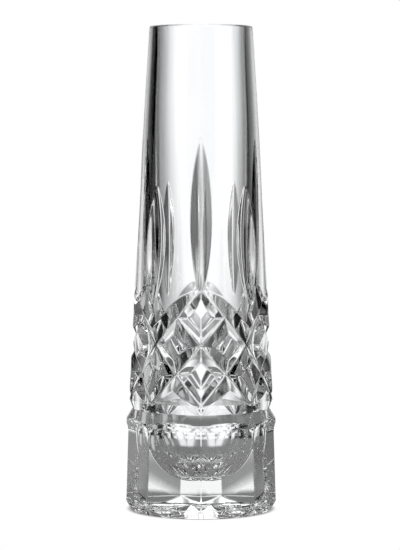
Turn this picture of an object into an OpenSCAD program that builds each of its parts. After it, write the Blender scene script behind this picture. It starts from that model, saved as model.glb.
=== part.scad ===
// Cut crystal bud vase: a tall tapering body and a thick eight-sided foot,
// blown and cut from one piece of lead crystal. Millimetres, +Z up, origin at
// the middle of the face that the vase rests on.

/* [Overall] */
// Height of the vase
vase_h = 230; // [200:1:260]
// Outer radius at the rim
rim_r = 24.4; // [23.5:0.1:26]
// Outer radius at the lower edge of the cut body
body_low_r = 34.3; // [33.5:0.1:35]
// Height of the lower edge of the cut body
body_low_z = 53; // [52:0.5:54]
// Radius of the rounding on both edges of the rim
lip_r = 1.1; // [0.6:0.1:1.5]

/* [Cavity] */
// Radius of the straight part of the cavity
bore_r = 22; // [20:0.1:23]
// Radius of the cavity at the rim
mouth_r = 20.6; // [19:0.1:21.5]
// Height at which the cavity starts to narrow towards the rim
bore_top_z = 176; // [160:1:190]
// Thickness of glass under the cavity
base_t = 14.5; // [12:0.5:20]

/* [Waist and foot] */
// Radius of the valley between body and foot
waist_r = 32.7; // [31.5:0.1:33]
// Height of that valley
waist_z = 48.6; // [48:0.1:49]
// Radius of the foot at its shoulder
shoulder_r = 35.6; // [35:0.1:36.5]
// Height of the shoulder
shoulder_z = 43.6; // [43:0.1:44]
// Radius of the foot's blank above the bottom bevel
foot_r = 36.1; // [35.6:0.1:37]
// Height of the bottom bevel
bevel_h = 3.8; // [2:0.1:5]
// Radius of the ring that the vase rests on
rest_r = 33; // [32:0.1:33.2]

/* [Foot facets] */
// Number of flat facets round the foot
facets = 8; // [8:1:8]
// Distance from the axis to a facet at the bottom
facet_low_x = 33.25; // [33:0.05:33.6]
// Distance from the axis to a facet at the start of its arched top
facet_top_x = 32.2; // [32:0.05:32.6]
// Height at which the arched top starts
facet_arch_z = 36.9; // [35:0.1:38]
// Radius of the arched top, seen from the side
facet_arch_r = 12; // [10:0.5:14]

/* [Spear cuts] */
// Height of the top tip of a long spear
long_top_z = 176; // [170:0.5:180]
// Length of a long spear
long_len = 72.5; // [68:0.5:74]
// Depth of a long spear at its middle
long_depth = 3.7; // [3:0.1:4.2]
// Height of the top tip of a short spear
short_top_z = 154.5; // [150:0.5:158]
// Length of a short spear
short_len = 55; // [50:0.5:58]
// Depth of a short spear at its middle
short_depth = 4.2; // [3:0.1:4.4]
// Angle from a spear's middle plane to each of its facets
spear_angle = 57; // [54:1:60]

/* [Diamond cuts] */
// Height of the top of the diamond band
band_top_z = 106.5; // [105:0.5:107]
// Height of the bottom of the diamond band
band_low_z = 53.2; // [53.1:0.1:54]
// Depth of the diamond grooves
groove_depth = 3.2; // [2.6:0.1:3.3]
// Depth of the grooves at the band's lower edge
groove_end_depth = 0.9; // [0.5:0.1:1]
// Angle from the groove's middle plane to its lower facet
groove_low_angle = 56; // [54:1:58]
// Angle from the groove's middle plane to its upper facet
groove_up_angle = 61; // [58:1:63]

/* [Star cut] */
// Number of rays in the star under the foot
rays = 16; // [12:2:24]
// Radius at which a ray runs out
ray_out_r = 31; // [29:0.1:31.2]
// Depth of the rays at the middle of the star
ray_depth = 2.8; // [1.5:0.1:2.8]
// Included angle of a ray
ray_angle = 120; // [110:1:130]
// Radius of the hollow in the middle of the star
hub_r = 6; // [5:0.5:8]

/* [Hidden] */
eps = 0.01;
quarter = 90;             // the pattern repeats every quarter turn
cell = quarter / 4;       // angle from one groove crossing to the next
levels = 4;               // rows of crossings from the band's top to its bottom
level_grow = 0.15;        // how much the rows spread out towards the bottom
level_dz = (band_top_z - band_low_z) / levels - levels * level_grow;
taper = (body_low_r - rim_r) / (vase_h - body_low_z);
swell = 0.5;              // how far the side bows out of a straight cone
side_steps = 5;
spear_steps = 4;
lip_steps = 4;
lathe_fn = 180;
wheel_fn = 360;
cut_clear = 4;            // how far a cutter stands out of the glass
join = 1.6;               // how far a stretch of groove runs on past its crossing

// Outer radius of the body at height z
function side_r(z) =
    let (t = (vase_h - z) / (vase_h - body_low_z))
    rim_r + taper * (vase_h - z) + swell * 4 * t * (1 - t) * (1 - t / 2);

// Depth of a spear at the fraction t of its length
function spear_depth(depth, t) = 4 * depth * t * (1 - t);

// Points of a rounding, anticlockwise from angle a to angle a + 90
function rounding(x, z, r, a) =
    [for (i = [0:lip_steps]) [x + r * cos(a + 90 * i / lip_steps), z + r * sin(a + 90 * i / lip_steps)]];

// Height of crossing level n, counted down from the band's top
function level_z(n) = band_top_z - n * level_dz - n * n * level_grow;

// Depth of a diamond groove at crossing level n: 0 at the band's top
function crossing_depth(n) = n <= 0 ? 0 : n >= levels ? groove_end_depth : groove_depth;

module blank() {
    rotate_extrude($fn = lathe_fn)
        polygon(concat(
            [[0, 0], [rest_r, 0], [foot_r, bevel_h], [shoulder_r, shoulder_z],
             [waist_r, waist_z]],
            [for (i = [0:side_steps])
                let (z = body_low_z + (vase_h - lip_r - body_low_z) * i / side_steps) [side_r(z), z]],
            [for (p = rounding(side_r(vase_h - lip_r) - lip_r, vase_h - lip_r, lip_r, 0))
                if (p[1] > vase_h - lip_r + eps) p],
            rounding(mouth_r + lip_r, vase_h - lip_r, lip_r, 90),
            [[0, vase_h - lip_r]]));
}

module cavity() {
    bowl_z = base_t + bore_r;
    translate([0, 0, bowl_z]) sphere(r = bore_r, $fn = lathe_fn);
    rotate_extrude($fn = lathe_fn)
        polygon([[0, bowl_z], [bore_r, bowl_z], [bore_r, bore_top_z],
                 [mouth_r, vase_h - lip_r], [mouth_r, vase_h + 1], [0, vase_h + 1]]);
}

// A straight V cut whose valley runs from the upper point p1 to the lower point
// p2, both near the XZ plane. right and left are the angles of its two facets
// from the middle plane, and over1 and over2 are how far it runs on past p1 and p2.
module v_cut(p1, p2, right, left, over1, over2) {
    run = p1 - p2;
    edge = groove_depth + cut_clear;
    translate(p2)
        rotate([atan2(-run[1], run[2]), 0, 0])
            rotate([0, atan2(run[0], norm([run[1], run[2]])), 0])
                translate([0, 0, -over2])
                    linear_extrude(height = norm(run) + over1 + over2)
                        polygon([[0, 0], [edge, -edge * tan(right)], [edge, edge * tan(left)]]);
}

// A spear: a V cut that deepens and runs out again along a shallow curve
module spear(top_z, len, depth) {
    valley = [for (i = [0:spear_steps])
        let (t = i / spear_steps, z = top_z - t * len) [side_r(z) - spear_depth(depth, t), 0, z]];
    for (i = [1:spear_steps])
        v_cut(valley[i - 1], valley[i], spear_angle, spear_angle, 0, 0);
}

// One straight stretch of a diagonal groove, from crossing level n to the next.
// The groove passes angle a at level 0, and way is 1 or -1 for its hand. up is the
// angle of its upper facet, and over how far it runs on past its top end.
module groove(a, n, way, up, over) {
    z1 = level_z(n);
    z2 = level_z(n + 1);
    r1 = side_r(z1) - crossing_depth(n);
    r2 = side_r(z2) - crossing_depth(n + 1);
    half = cell / 2;
    low = groove_low_angle;
    rotate([0, 0, a + way * cell * (n + 0.5)])
        v_cut([r1 * cos(half), -way * r1 * sin(half), z1], [r2 * cos(half), way * r2 * sin(half), z2],
              way > 0 ? low : up, way > 0 ? up : low, over, join);
}

module diamonds() {
    for (q = [0:3], way = [-1, 1]) {
        for (n = [0:levels - 1])
            groove(q * quarter, n, way, n < 2 ? groove_up_angle : groove_low_angle, join);
        for (n = [1:levels - 1])
            groove(q * quarter - 2 * way * cell, n, way, groove_low_angle, n == 1 ? 0 : join);
    }
}

// One facet of the foot: a nearly upright flat that ends in a scooped arch
module facet() {
    wide = 2 * foot_r;
    out = foot_r + cut_clear;
    rotate([90, 0, 0]) {
        linear_extrude(height = wide, center = true)
            polygon([[facet_low_x, -eps], [out, -eps], [out, facet_arch_z], [facet_top_x, facet_arch_z]]);
        translate([facet_top_x + facet_arch_r, facet_arch_z, 0])
            cylinder(r = facet_arch_r, h = wide, center = true, $fn = wheel_fn);
    }
}

// One ray of the star: a V groove from the hub to where it runs out
module ray() {
    drop = atan(ray_depth / ray_out_r);
    deep = ray_depth + 1;
    translate([ray_out_r, 0, 0])
        rotate([0, drop - 90, 0])
            linear_extrude(height = ray_out_r - hub_r / 2)
                polygon([[0, 0], [-deep, -deep * tan(ray_angle / 2)], [-deep, deep * tan(ray_angle / 2)]]);
}

// The hollow that the rays run into
module hub() {
    translate([0, 0, -eps]) cylinder(h = ray_depth + eps, r1 = hub_r, r2 = hub_r / 2, $fn = lathe_fn);
}

module vase() {
    color([0.86, 0.88, 0.9, 0.45])
        difference() {
            blank();
            cavity();
            for (q = [0:3]) {
                rotate([0, 0, q * quarter]) spear(long_top_z, long_len, long_depth);
                rotate([0, 0, (q + 0.5) * quarter]) spear(short_top_z, short_len, short_depth);
            }
            diamonds();
            for (k = [0:facets - 1])
                rotate([0, 0, (k + 0.5) * 360 / facets]) facet();
            for (k = [0:rays - 1])
                rotate([0, 0, (k + 0.5) * 360 / rays]) ray();
            hub();
        }
}

vase();
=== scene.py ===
from math import cos, pi, radians, sin, tan

import bmesh
import bpy
import numpy as np
from mathutils import Matrix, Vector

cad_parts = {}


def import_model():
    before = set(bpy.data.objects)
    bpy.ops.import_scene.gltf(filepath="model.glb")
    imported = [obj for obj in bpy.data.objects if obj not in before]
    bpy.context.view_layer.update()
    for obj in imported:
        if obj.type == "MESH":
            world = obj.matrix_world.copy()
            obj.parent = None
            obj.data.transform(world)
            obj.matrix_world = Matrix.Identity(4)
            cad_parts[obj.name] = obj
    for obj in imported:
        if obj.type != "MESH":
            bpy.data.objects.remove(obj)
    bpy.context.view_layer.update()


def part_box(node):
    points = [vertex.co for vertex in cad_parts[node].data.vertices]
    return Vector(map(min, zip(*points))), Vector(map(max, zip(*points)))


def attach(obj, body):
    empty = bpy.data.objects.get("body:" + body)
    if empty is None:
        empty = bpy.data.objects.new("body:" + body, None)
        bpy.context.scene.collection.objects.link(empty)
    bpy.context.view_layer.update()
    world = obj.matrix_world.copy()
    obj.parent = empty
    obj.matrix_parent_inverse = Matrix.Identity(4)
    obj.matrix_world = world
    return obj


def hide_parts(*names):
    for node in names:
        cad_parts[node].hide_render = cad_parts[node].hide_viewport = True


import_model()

# Sizes are in millimetres, as in part.scad, and the mesh is scaled to metres
MM = 0.001
LOW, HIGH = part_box("vase")
VASE_H = (HIGH[2] - LOW[2]) / MM

# Body and rim
RIM_R = 24.4
BODY_LOW_R, BODY_LOW_Z = 34.3, 53.0
SWELL = 0.5
LIP_R = 1.1
LIP_Z = VASE_H - LIP_R

# Cavity
BORE_R, BORE_TOP_Z = 22.0, 176.0
MOUTH_R = 20.6
BASE_T = 14.5
BOWL_Z = BASE_T + BORE_R

# Waist and foot
WAIST_R, WAIST_Z = 32.7, 48.6
SHOULDER_R, SHOULDER_Z = 35.6, 43.6
FOOT_R, BEVEL_H = 36.1, 3.8
REST_R = 33.0
FACETS = 8
FACET_LOW_X, FACET_TOP_X = 33.25, 32.2
FACET_ARCH_Z, FACET_ARCH_R = 36.9, 12.0
ARCH_END_Z = 47.0
FACET_REACH = 1        # widest angle from a facet's middle, in radians

# Spear cuts: height of the top tip, length and depth
LONG_SPEAR = (176.0, 72.5, 3.0)
SHORT_SPEAR = (154.5, 55.0, 3.8)
SPEAR_ANGLE = radians(57)
SPEAR_ROUND = 1.0
SPEAR_REACH = 0.5      # widest angle from a spear's middle, in radians
SPEAR_SPARE = 0.2      # share of its length by which a spear is worked out past its tips

# Diamond cuts
BAND_TOP_Z, BAND_LOW_Z = 106.5, 53.2
LEVELS = 4
LEVEL_GROW = 0.15
LEVEL_DZ = (BAND_TOP_Z - BAND_LOW_Z) / LEVELS - LEVELS * LEVEL_GROW
QUARTER = pi / 2
CELL = QUARTER / LEVELS
GROOVE_DEPTH, GROOVE_END_DEPTH, GROOVE_ROUND = 3.2, 0.9, 0.3
GROOVE_LOW_ANGLE, GROOVE_UP_ANGLE = radians(56), radians(61)
GROOVE_REACH = 12      # farthest that a groove's facets reach from its valley
GROOVE_SPARE = 0.3     # how far a groove runs on past the last level, in levels

# Star cut under the foot
RAYS = 16
RAY_OUT_R, RAY_DEPTH = 31.0, 2.8
RAY_HALF_ANGLE = radians(60)

# Wear on the ring that the vase rests on: how far up it goes, and its texture
WEAR_H, WEAR_ROUGHNESS = 0.05, 0.3
SCRATCHES_PER_M = 900

# Softening of the polished edges, measured at a middle radius
EDGE_SOFT = 0.28
SOFT_R = 33.0

# Grids: the mesh's columns, and the finer field of radii that holds the cuts
COLUMNS = 480
FINE_COLUMNS = 3 * COLUMNS
FINE_DZ = 0.15
FINE_LOW_Z, FINE_HIGH_Z = -3.0, 183.0
UNCUT_Z = FINE_HIGH_Z - 1
FACE_BUDGET = 190_000


def side_r(z):
    """Outer radius of the uncut body at height z."""
    t = (VASE_H - z) / (VASE_H - BODY_LOW_Z)
    return RIM_R + (BODY_LOW_R - RIM_R) * t + SWELL * 4 * t * (1 - t) * (1 - t / 2)


def blank_r(z):
    """Outer radius of the whole vase before any spear, groove or facet is cut."""
    foot = np.interp(z, [0, BEVEL_H, SHOULDER_Z, WAIST_Z, BODY_LOW_Z],
                     [REST_R, FOOT_R, SHOULDER_R, WAIST_R, side_r(BODY_LOW_Z)])
    below = REST_R + z * (FOOT_R - REST_R) / BEVEL_H
    return np.where(z > BODY_LOW_Z, side_r(z), np.where(z < 0, below, foot))


def slope(profile, z, step=0.2):
    """How fast a profile's radius grows with height."""
    return (profile(z + step) - profile(z - step)) / (2 * step)


def turned(theta, turn):
    """Angles from turn, between -pi and pi."""
    return (theta - turn + pi) % (2 * pi) - pi


def spear(theta, z, turn, top_z, length, depth):
    """Radius that the V of a spear leaves. It deepens and runs out as a wheel cuts."""
    t = (top_z - z) / length
    valley = side_r(z) - 4 * depth * t * (1 - t)
    a = turned(theta, turn)
    across = side_r(z) * np.sin(a)
    rise = (np.hypot(across, SPEAR_ROUND) - SPEAR_ROUND) / tan(SPEAR_ANGLE)
    inside = (np.abs(a) < SPEAR_REACH) & (t > -SPEAR_SPARE) & (t < 1 + SPEAR_SPARE)
    return np.where(inside, (valley + rise) / np.cos(np.clip(a, -SPEAR_REACH, SPEAR_REACH)), np.inf)


def level_z(n):
    """Height of crossing level n, from the top: the levels spread out downwards."""
    return BAND_TOP_Z - n * LEVEL_DZ - n * n * LEVEL_GROW


def level_at(z):
    """Level at height z: level_z turned round."""
    drop = BAND_TOP_Z - z
    return (np.sqrt(LEVEL_DZ ** 2 + 4 * LEVEL_GROW * drop) - LEVEL_DZ) / (2 * LEVEL_GROW)


def groove(theta, z, start, way, first):
    """Radius that a diagonal groove leaves. It starts on level first, near angle start,
    and runs to the band's lower edge. way is 1 or -1 for its hand."""
    main = first == 0
    a = way * turned(theta, start + way * CELL * (LEVELS - first) / 2) / CELL + (LEVELS + first) / 2
    b = level_at(z)
    run, drop = side_r(z) * CELL, LEVEL_DZ + 2 * b * LEVEL_GROW
    slant = np.hypot(run, drop)
    n = (a * run ** 2 + b * drop ** 2) / slant ** 2
    off = (a - b) * run * drop / slant
    depth = GROOVE_DEPTH + (GROOVE_END_DEPTH - GROOVE_DEPTH) * np.maximum(n - LEVELS + 1, 0) ** 2
    if main:
        depth = np.where(n < 1, GROOVE_DEPTH * (1 - np.clip(1 - n, 0, 1) ** 3), depth)
    up_angle = np.where(main & (n < 2), GROOVE_UP_ANGLE, GROOVE_LOW_ANGLE)
    angle = np.where(off > 0, up_angle, GROOVE_LOW_ANGLE)
    rise = (np.hypot(off, GROOVE_ROUND) - GROOVE_ROUND) / np.tan(angle)
    valley = side_r(level_z(n)) - depth
    across = off * drop / slant
    inside = (n > first) & (n < LEVELS + GROOVE_SPARE) & (np.abs(off) < GROOVE_REACH)
    return np.where(inside, valley + rise + across ** 2 / (2 * valley), np.inf)


def facet_x(z):
    """Distance from the axis to a foot facet at height z."""
    flat = FACET_LOW_X + (FACET_TOP_X - FACET_LOW_X) * z / FACET_ARCH_Z
    up = np.clip(z - FACET_ARCH_Z, 0, FACET_ARCH_R)
    arch = FACET_TOP_X + FACET_ARCH_R - np.sqrt(FACET_ARCH_R ** 2 - up ** 2)
    return np.where(z < FACET_ARCH_Z, flat, arch)


def carve(theta, z):
    """Outer radius of the cut vase over the fine grid, before its edges are softened."""
    r = blank_r(z) + 0 * theta
    for q in range(4):
        turn = q * QUARTER
        r = np.minimum(r, spear(theta, z, turn, *LONG_SPEAR))
        r = np.minimum(r, spear(theta, z, turn + QUARTER / 2, *SHORT_SPEAR))
        for way in (-1, 1):
            r = np.minimum(r, groove(theta, z, turn, way, 0))
            r = np.minimum(r, groove(theta, z, turn - way * CELL, way, 1))
    for k in range(FACETS):
        a = turned(theta, (k + 0.5) * 2 * pi / FACETS)
        facet = facet_x(z) / np.cos(np.clip(a, -FACET_REACH, FACET_REACH))
        r = np.where((np.abs(a) < FACET_REACH) & (z < ARCH_END_Z), np.minimum(r, facet), r)
    return r


def blur(field, width, step):
    """Rows of the field, which close on themselves, blurred by width at a point every step."""
    waves = np.fft.rfftfreq(field.shape[1], step)
    return np.fft.irfft(np.fft.rfft(field) * np.exp(-2 * (pi * width * waves) ** 2), n=field.shape[1])


def soften(field, width):
    """The field of radii blurred by width, up and down as well as round the vase."""
    mirrored = np.concatenate([field, field[::-1]])
    down = blur(mirrored.T, width, FINE_DZ).T[:len(field)]
    return blur(down, width, 2 * pi * SOFT_R / FINE_COLUMNS)


class Outside:
    """The cut outer surface, as a radius over angle and height."""

    def __init__(self):
        self.z = np.arange(FINE_LOW_Z, FINE_HIGH_Z, FINE_DZ)
        theta = 2 * pi * np.arange(FINE_COLUMNS) / FINE_COLUMNS
        raw = carve(theta[None, :], self.z[:, None])
        uncut = blank_r(self.z)[:, None]
        self.r = soften(raw - uncut, EDGE_SOFT) + uncut
        self.slope_z = np.gradient(self.r, FINE_DZ, axis=0)
        wrapped = np.concatenate([self.r[:, -1:], self.r, self.r[:, :1]], axis=1)
        self.slope_a = (wrapped[:, 2:] - wrapped[:, :-2]) * FINE_COLUMNS / (4 * pi)

    def sample(self, field, theta, z):
        """The field between its grid points."""
        row = np.clip((z - FINE_LOW_Z) / FINE_DZ, 0, len(self.z) - 1.001)
        column = (theta / (2 * pi) % 1) * FINE_COLUMNS
        i, j = row.astype(int), column.astype(int) % FINE_COLUMNS
        u, v = row - i, column - np.floor(column)
        j2 = (j + 1) % FINE_COLUMNS
        return ((field[i, j] * (1 - v) + field[i, j2] * v) * (1 - u)
                + (field[i + 1, j] * (1 - v) + field[i + 1, j2] * v) * u)

    def radius(self, theta, z):
        cut = self.sample(self.r, theta, z)
        return np.where(z < UNCUT_Z, cut, side_r(z))

    def normal(self, theta, z):
        r = self.radius(theta, z)
        by_z = np.where(z < UNCUT_Z, self.sample(self.slope_z, theta, z), slope(side_r, z))
        by_a = np.where(z < UNCUT_Z, self.sample(self.slope_a, theta, z), 0) / r
        c, s = np.cos(theta), np.sin(theta)
        return np.stack([c + by_a * s, s - by_a * c, -by_z], axis=-1)


def star_z(r, theta):
    """Height of the underside at radius r: a star of V rays that run out."""
    ray = 2 * pi / RAYS
    a = (theta % ray) - ray / 2
    depth = RAY_DEPTH * (1 - r * np.cos(a) / RAY_OUT_R)
    return np.maximum(0, depth - r * np.abs(np.sin(a)) / tan(RAY_HALF_ANGLE))


def cavity_r(z):
    """Radius of the cavity above the bowl."""
    t = np.clip((z - BORE_TOP_Z) / (LIP_Z - BORE_TOP_Z), 0, 1)
    return BORE_R + (MOUTH_R - BORE_R) * t * t * (3 - 2 * t)


def lip_profile():
    """Outline over the rim, from the top of the outer side to the top of the cavity."""
    quarter = np.linspace(0, pi / 2, 7)
    outer = [(side_r(LIP_Z) - LIP_R * (1 - cos(a)), LIP_Z + LIP_R * sin(a)) for a in quarter]
    inner = [(MOUTH_R + LIP_R * (1 - cos(a)), LIP_Z + LIP_R * sin(a)) for a in quarter[::-1]]
    return outer + inner


def rows(*stretches):
    """Heights from stretches of (start, end, step), each without its end."""
    return np.concatenate([np.linspace(a, b, max(1, round((b - a) / step)), endpoint=False)
                           for a, b, step in stretches])


def rings(outside):
    """All rings of the vase, from the underside's middle out, up, over the rim and
    down the cavity, as an array of rings by columns by coordinates."""
    theta = 2 * pi * np.arange(COLUMNS) / COLUMNS
    found = []

    def add(r, z):
        r, z = r + 0 * theta, z + 0 * theta
        found.append(np.stack([r * np.cos(theta), r * np.sin(theta), z], axis=-1))

    for r in np.linspace(1, REST_R, 33)[:-1]:
        add(r, star_z(r, theta))
    bevel_z, arch_z, body_z = BEVEL_H + 0.4, FACET_ARCH_Z - 1, BODY_LOW_Z + 1
    band_z, tip_z = BAND_TOP_Z + 1, LONG_SPEAR[0] + 2
    for z in rows((0, bevel_z, 0.35), (bevel_z, arch_z, 5), (arch_z, ARCH_END_Z, 0.5),
                  (ARCH_END_Z, body_z, 0.35), (body_z, band_z, 0.42), (band_z, tip_z, 1), (tip_z, LIP_Z, 4)):
        add(outside.radius(theta, z + 0 * theta), z)
    for r, z in lip_profile():
        add(r, z)
    for z in rows((LIP_Z - 3, BORE_TOP_Z, -2), (BORE_TOP_Z, BOWL_Z, -6)):
        add(cavity_r(z), z)
    for a in np.linspace(0, pi / 2, 40)[:-1]:
        add(BORE_R * cos(a), BOWL_Z - BORE_R * sin(a))
    return np.array(found)


def skin(found):
    """Piece through the rings, closed by a fan at each end, and thinned to the budget."""
    count = len(found)
    points = np.concatenate([found.reshape(-1, 3), [[0, 0, RAY_DEPTH], [0, 0, BASE_T]]])
    i, j = np.meshgrid(np.arange(count - 1), np.arange(COLUMNS), indexing="ij")
    k = (j + 1) % COLUMNS
    here, above = i * COLUMNS, (i + 1) * COLUMNS
    quads = np.stack([here + j, here + k, above + k, above + j], axis=-1)
    j = np.arange(COLUMNS)
    k = (j + 1) % COLUMNS
    last = (count - 1) * COLUMNS
    fans = [np.stack([j * 0 + count * COLUMNS, k, j], axis=-1),
            np.stack([j * 0 + count * COLUMNS + 1, last + j, last + k], axis=-1)]
    mesh = bpy.data.meshes.new("crystal_vase")
    mesh.from_pydata(points.tolist(), [], quads.reshape(-1, 4).tolist() + np.concatenate(fans).tolist())
    piece = bpy.data.objects.new("crystal_vase", mesh)
    bpy.context.scene.collection.objects.link(piece)
    step = piece.modifiers.new("thin", "DECIMATE")
    step.ratio = FACE_BUDGET / (2 * len(quads.reshape(-1, 4)))
    step.use_collapse_triangulate = True
    thin = bpy.data.meshes.new_from_object(piece.evaluated_get(bpy.context.evaluated_depsgraph_get()))
    piece.modifiers.clear()
    piece.data = thin
    bpy.data.meshes.remove(mesh)
    return piece


def unit(vectors):
    return vectors / np.linalg.norm(vectors, axis=-1, keepdims=True)


def upright(theta, out, up):
    """Vectors that point out from the axis by out and up by up, at the angles theta."""
    return np.stack([np.cos(theta) * out, np.sin(theta) * out, up + 0 * theta], axis=-1)


def star_normal(x, y, step=0.01):
    def height(x, y):
        return star_z(np.hypot(x, y), np.arctan2(y, x))

    by_x = (height(x + step, y) - height(x, y)) / step
    by_y = (height(x, y + step) - height(x, y)) / step
    return np.stack([by_x, by_y, -1 + 0 * x], axis=-1)


def corners(mesh):
    """The three corners of every triangle."""
    points = np.empty(len(mesh.vertices) * 3, dtype=np.float32)
    mesh.vertices.foreach_get("co", points)
    index = np.empty(len(mesh.loops), dtype=np.int32)
    mesh.loops.foreach_get("vertex_index", index)
    return points.reshape(-1, 3).astype(float)[index.reshape(-1, 3)]


def pulled_in(tri, middle, share=0.35, most=0.4):
    """The corners on the waist and foot moved towards each triangle's middle, so that
    at a crisp edge a triangle takes the normal of its own side."""
    inward = middle[:, None, :] - tri
    reach = np.maximum(np.linalg.norm(inward, axis=-1, keepdims=True), 1e-6)
    crisp = (middle[:, 2] < BODY_LOW_Z + 1)[:, None, None]
    return tri + crisp * inward * np.minimum(share, most / reach)


def true_normals(mesh, outside):
    """A normal for every face corner, from the surfaces themselves and not the mesh."""
    tri = corners(mesh)
    middle = tri.mean(axis=1)
    mid_r, mid_z = np.hypot(middle[:, 0], middle[:, 1])[:, None], middle[:, 2][:, None]
    facing = unit(np.cross(tri[:, 1] - tri[:, 0], tri[:, 2] - tri[:, 0]) + 1e-12)
    x, y, z = np.moveaxis(pulled_in(tri, middle), -1, 0)
    r, theta = np.hypot(x, y), np.arctan2(y, x)

    near, hair = 0.3, 0.01
    under = (mid_r < REST_R - hair) & (mid_z < RAY_DEPTH + near) & (facing[:, 2:] < -0.3)
    inner = mid_r < BORE_R + near
    lip_centre = np.clip(r, MOUTH_R + LIP_R, side_r(LIP_Z) - LIP_R)
    normals = outside.normal(theta, z)
    for here, normal in (
            (under, star_normal(x, y)),
            (inner & (mid_z > BOWL_Z) & (mid_z < LIP_Z), upright(theta, -1, slope(cavity_r, z))),
            (inner & (mid_z > BASE_T - near) & (mid_z <= BOWL_Z), upright(theta, -r, BOWL_Z - z)),
            (mid_z >= LIP_Z, upright(theta, r - lip_centre, np.maximum(z - LIP_Z, 1e-4)))):
        normals = np.where(here[..., None], normal, normals)
    return unit(normals).reshape(-1, 3)


def make_vase():
    outside = Outside()
    piece = skin(rings(outside))
    mesh = piece.data
    mesh.shade_smooth()
    mesh.normals_split_custom_set(true_normals(mesh, outside).tolist())
    mesh.transform(Matrix.Scale(MM, 4))
    mesh.materials.clear()
    mesh.materials.append(lead_crystal("lead_crystal"))
    mesh.materials.append(worn_crystal())
    for face in mesh.polygons:
        face.material_index = int(face.center.z < WEAR_H * MM and face.normal.z < -0.9)
    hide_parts("vase")
    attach(piece, "root")


def lead_crystal(name):
    """Clear crystal, polished bright."""
    mat = bpy.data.materials.new(name)
    mat.use_nodes = True
    shader = mat.node_tree.nodes["Principled BSDF"]
    shader.inputs["Base Color"].default_value = (0.985, 0.99, 0.995, 1)
    shader.inputs["Roughness"].default_value = 0.0
    shader.inputs["IOR"].default_value = 1.545
    shader.inputs["Transmission Weight"].default_value = 1.0
    return mat


def worn_crystal():
    """The same crystal where the vase rests, dulled by fine scratches."""
    mat = lead_crystal("worn_crystal")
    tree = mat.node_tree
    coord = add_node(tree, "ShaderNodeTexCoord").outputs["Object"]
    scratches = add_node(tree, "ShaderNodeTexNoise")
    scratches.inputs["Scale"].default_value = SCRATCHES_PER_M
    scratches.inputs["Detail"].default_value = 6
    tree.links.new(coord, scratches.inputs["Vector"])
    dulled = add_node(tree, "ShaderNodeMapRange")
    dulled.inputs["From Min"].default_value = 0.3
    dulled.inputs["From Max"].default_value = 0.7
    dulled.inputs["To Max"].default_value = WEAR_ROUGHNESS
    tree.links.new(scratches.outputs["Fac"], dulled.inputs["Value"])
    tree.links.new(dulled.outputs[0], tree.nodes["Principled BSDF"].inputs["Roughness"])
    return mat


# Brightness of the studio round the vase: angle from +Y towards +X in degrees, and level.
# FIELD is the bright field behind the vase, which fades out to its sides. LOW_STOPS adds
# strips beside and in front of the vase, with dark flags between them. HIGH_STOPS and
# TOP_STOPS are the panels above. FLOOR_STOPS, MID_STOPS and NEAR_STOPS are rings of the
# floor, from the outside in: painted light and shade that the glowing floor shows to light that the glass
# bends. LOW_STOPS also paints the floor's outermost ring.
FIELD = [(-27, 0), (-22, 0.3), (-16, 0.4), (-12, 0.6), (-8, 0.9), (-4, 1.15), (4, 1.15), (8, 1), (12, 0.9),
         (16, 0.65), (22, 0.4), (30, 0.2), (48, 0.1), (56, 0)]
LOW_STOPS = [(-180, 0), (-142, 0), (-138, 1.3), (-108, 1.3), (-102, 0.45), (-78, 0.45), (-72, 0), *FIELD,
             (72, 0), (78, 0.6), (102, 0.6), (108, 2.5), (138, 2.5), (142, 0.2), (180, 0)]
HIGH_STOPS = [(-180, 0), (-110, 0), (-106, 0.6), (-96, 0.6), (-92, 0), (-41, 0), (-38, 1), (-30, 1),
              (-28, 0), (-25, 0), (-23, 1.2), (-12, 1.2), (-11, 0.4), (-9, 0.4), (-8, 1.5), (8, 1.5),
              (9, 0.4), (11, 0.4), (12, 1.3), (22, 1.3), (24, 0), (27, 0), (29, 1.2), (39, 1.2), (42, 0),
              (92, 0), (96, 1), (106, 1), (110, 0), (180, 0)]
TOP_STOPS = [(-180, 0), (-95, 0), (-90, 1), (-55, 1), (-50, 0.1), (-35, 0.1), (-30, 1.2), (30, 1.2),
             (35, 0.1), (50, 0.1), (55, 1), (90, 1), (95, 0), (180, 0)]
FLOOR_STOPS = [(-180, 0.8), (-128, 0.8), (-122, 0), *FIELD, (122, 0), (128, 1.5), (180, 1.5)]
MID_STOPS = [(-180, 0), (-64, 0), (-54, 0.6), (-36, 0.6), (-29, 0), (-23, 0.2), (-17, 1.1), (-12, 1.1),
             (-9, 0.5), (-6, 1.2), (6, 1.2), (9, 0.5), (12, 1.2), (18, 1.2), (24, 0.2), (30, 0), (115, 0),
             (122, 0.7), (150, 0.7), (160, 0), (180, 0)]
NEAR_STOPS = [(-180, 0.2), (-64, 0.2), (-54, 0.6), (-36, 0.6), (-27, 0.2), (-14, 0.3), (-6, 1), (6, 1),
              (14, 0.35), (28, 0.2), (60, 0.2), (180, 0.2)]
# Painted light: the floor's glow under the vase, and how dark the painted contact shadow is
UNDER_LEVEL = 0.2
SHADOW_LEVEL = 0.3

# Heights in degrees over which the low, the high and the top panels meet
HIGH_FROM, HIGH_TO = 9, 15
TOP_FROM, TOP_TO = 50, 60

# Radii in metres over which the floor's rings meet, and where the contact shadow ends
UNDER_R, NEAR_R, MID_R, FAR_R = 0.048, 0.064, 0.24, 0.9
SHADOW_R = 0.0365
FLOOR_R = 8

# Camera: lens in mm, place in metres, and how far it looks down in degrees
CAMERA_LENS = 164.7
CAMERA_AT = (-0.0005, -1.196, 0.188)
CAMERA_DOWN = 3.643


def add_node(tree, kind, **settings):
    node = tree.nodes.new(kind)
    for name, value in settings.items():
        setattr(node, name, value)
    return node


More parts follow.
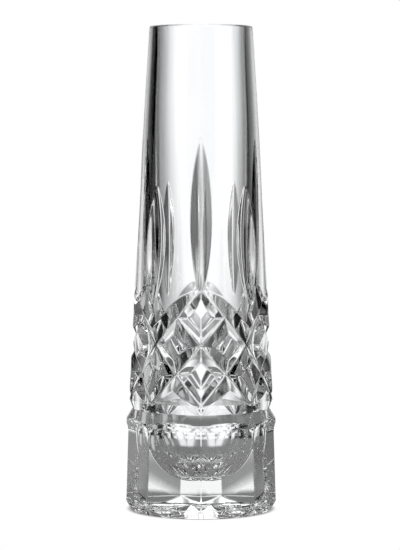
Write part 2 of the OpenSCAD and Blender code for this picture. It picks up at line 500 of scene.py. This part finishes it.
def azimuth_of(tree, way):
    """Socket with the angle of a direction round the vase, as 0 to 1."""
    split = add_node(tree, "ShaderNodeSeparateXYZ")
    tree.links.new(way, split.inputs[0])
    azimuth = add_node(tree, "ShaderNodeMath", operation="ARCTAN2")
    tree.links.new(split.outputs["X"], azimuth.inputs[0])
    tree.links.new(split.outputs["Y"], azimuth.inputs[1])
    spread = add_node(tree, "ShaderNodeMapRange")
    spread.inputs["From Min"].default_value = -pi
    spread.inputs["From Max"].default_value = pi
    tree.links.new(azimuth.outputs[0], spread.inputs["Value"])
    return spread.outputs["Result"]


def ramp(tree, stops, azimuth):
    """Socket with the brightness that the stops give at an azimuth."""
    node = add_node(tree, "ShaderNodeValToRGB")
    tree.links.new(azimuth, node.inputs["Fac"])
    elements = node.color_ramp.elements
    while len(elements) < len(stops):
        elements.new(0.5)
    for element, (angle, level) in zip(elements, stops):
        element.position = (angle + 180) / 360
        element.color = (level, level, level, 1)
    return node.outputs["Color"]


def even(tree, level):
    """Socket with the same brightness everywhere."""
    node = add_node(tree, "ShaderNodeRGB")
    node.outputs[0].default_value = (level, level, level, 1)
    return node.outputs[0]


def between(tree, value, low, high, first, second):
    """Socket that turns smoothly from first to second as value goes from low to high."""
    change = add_node(tree, "ShaderNodeMapRange", interpolation_type="SMOOTHSTEP")
    change.inputs["From Min"].default_value = low
    change.inputs["From Max"].default_value = high
    tree.links.new(value, change.inputs["Value"])
    mix = add_node(tree, "ShaderNodeMix", data_type="RGBA")
    tree.links.new(change.outputs[0], mix.inputs["Factor"])
    tree.links.new(first, mix.inputs["A"])
    tree.links.new(second, mix.inputs["B"])
    return mix.outputs["Result"]


def white_when_seen(tree, hidden, kind, out):
    """The camera sees plain white; light that the glass bends sees the studio.
    Returns the white node."""
    path = add_node(tree, "ShaderNodeLightPath")
    white = add_node(tree, kind)
    white.inputs["Color"].default_value = (1, 1, 1, 1)
    mix = add_node(tree, "ShaderNodeMixShader")
    tree.links.new(path.outputs["Is Camera Ray"], mix.inputs["Fac"])
    tree.links.new(hidden, mix.inputs[1])
    tree.links.new(white.outputs[0], mix.inputs[2])
    tree.links.new(mix.outputs[0], out.inputs["Surface"])
    return white


def pale_floor_painted_light():
    """White to the camera, with a thin painted contact shadow round the foot. To light that the glass bends,
    the floor glows with painted light and shade: rings and sectors of the studio's brightness, dimmer under
    the vase.
    """
    mat = bpy.data.materials.new("pale_floor_painted_light")
    mat.use_nodes = True
    tree = mat.node_tree
    tree.nodes.clear()
    out = add_node(tree, "ShaderNodeOutputMaterial")
    coord = add_node(tree, "ShaderNodeTexCoord").outputs["Object"]
    length = add_node(tree, "ShaderNodeVectorMath", operation="LENGTH")
    tree.links.new(coord, length.inputs[0])
    distance = length.outputs["Value"]
    azimuth = azimuth_of(tree, coord)
    # Painted light and shade: the floor glows, dim under the vase, and in rings and sectors of the studio's
    # brightness further out
    light = even(tree, UNDER_LEVEL)
    for low, high, stops in ((UNDER_R, NEAR_R, NEAR_STOPS), (MID_R / 2, MID_R, MID_STOPS),
                             (MID_R, FAR_R, FLOOR_STOPS), (FAR_R, 2 * FAR_R, LOW_STOPS)):
        light = between(tree, distance, low, high, light, ramp(tree, stops, azimuth))
    glow = add_node(tree, "ShaderNodeEmission")
    tree.links.new(light, glow.inputs["Color"])
    seen = white_when_seen(tree, glow.outputs[0], "ShaderNodeEmission", out)
    # Painted contact shadow: the white that the camera sees, darkened round the foot
    shadow = between(tree, distance, REST_R * MM, SHADOW_R, even(tree, SHADOW_LEVEL), even(tree, 1))
    tree.links.new(shadow, seen.inputs["Color"])
    return mat


def floor():
    bm = bmesh.new()
    bmesh.ops.create_circle(bm, cap_ends=True, radius=FLOOR_R, segments=64)
    mesh = bpy.data.meshes.new("floor")
    bm.to_mesh(mesh)
    bm.free()
    piece = bpy.data.objects.new("floor", mesh)
    bpy.context.scene.collection.objects.link(piece)
    piece.data.materials.append(pale_floor_painted_light())


def world():
    sky = bpy.data.worlds.new("studio")
    bpy.context.scene.world = sky
    sky.use_nodes = True
    tree = sky.node_tree
    tree.nodes.clear()
    out = add_node(tree, "ShaderNodeOutputWorld")
    coord = add_node(tree, "ShaderNodeTexCoord").outputs["Generated"]
    split = add_node(tree, "ShaderNodeSeparateXYZ")
    tree.links.new(coord, split.inputs[0])
    azimuth = azimuth_of(tree, coord)
    light = ramp(tree, LOW_STOPS, azimuth)
    for low, high, stops in ((HIGH_FROM, HIGH_TO, HIGH_STOPS), (TOP_FROM, TOP_TO, TOP_STOPS)):
        light = between(tree, split.outputs["Z"], sin(radians(low)), sin(radians(high)), light,
                        ramp(tree, stops, azimuth))
    lit = add_node(tree, "ShaderNodeBackground")
    tree.links.new(light, lit.inputs["Color"])
    white_when_seen(tree, lit.outputs[0], "ShaderNodeBackground", out)


def camera():
    data = bpy.data.cameras.new("camera")
    data.lens = CAMERA_LENS
    data.sensor_width = 36
    piece = bpy.data.objects.new("camera", data)
    bpy.context.scene.collection.objects.link(piece)
    piece.location = CAMERA_AT
    piece.rotation_euler = (radians(90 - CAMERA_DOWN), 0, 0)
    bpy.context.scene.camera = piece


def light_paths():
    """Enough bounces for light that crosses many facets, and plain colours."""
    scene = bpy.context.scene
    scene.view_settings.view_transform = "Standard"
    scene.cycles.max_bounces = 32
    scene.cycles.transmission_bounces = 32
    scene.cycles.glossy_bounces = 16
    scene.cycles.caustics_reflective = True
    scene.cycles.caustics_refractive = True


make_vase()
floor()
world()
camera()
light_paths()

bpy.context.view_layer.update()
